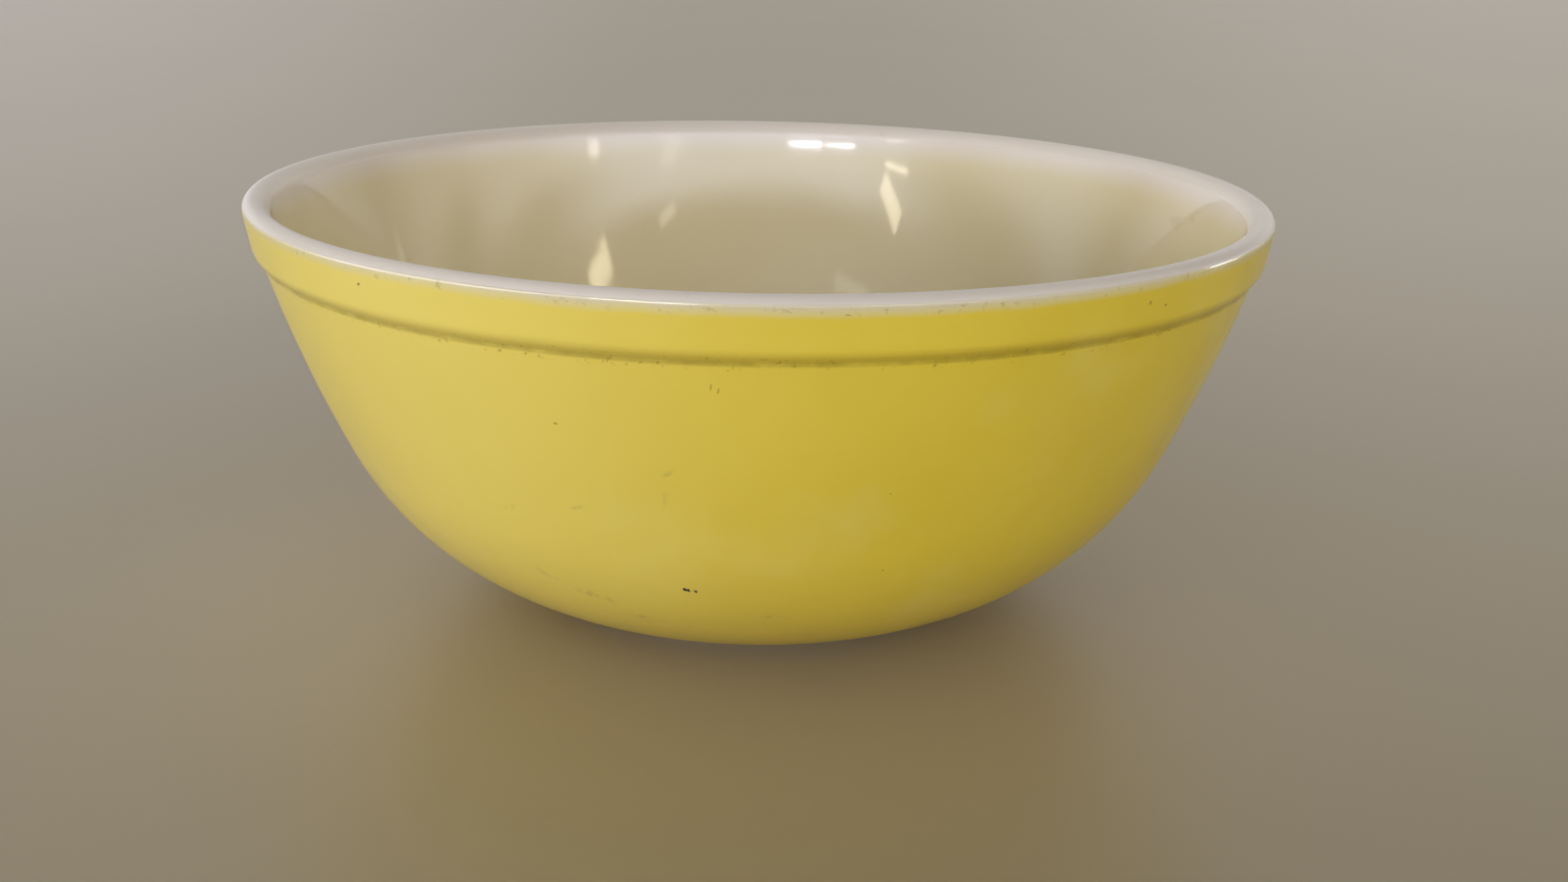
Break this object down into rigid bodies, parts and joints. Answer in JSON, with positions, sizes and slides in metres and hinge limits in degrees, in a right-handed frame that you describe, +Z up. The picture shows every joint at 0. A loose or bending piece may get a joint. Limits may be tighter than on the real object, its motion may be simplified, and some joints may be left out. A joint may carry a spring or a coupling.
{
  "type": "mixing bowl",
  "caption": "Large round mixing bowl of white opal glass with a rounded lip, a stepped band and a glossy yellow enamel outside.",
  "frame": {"origin": "centre of the bowl on its axis, in the plane of the ring it stands on", "axes": "+Z up along the bowl's axis of turning; X and Y are alike"},
  "size_m": [0.266, 0.266, 0.11],
  "materials": {
    "opal_glass": "gloss",
    "yellow_enamel": "gloss"
  },
  "bodies": {
    "root": {"glass_bowl": "opal_glass", "enamel_coat": "yellow_enamel"}
  },
  "joints": []
}
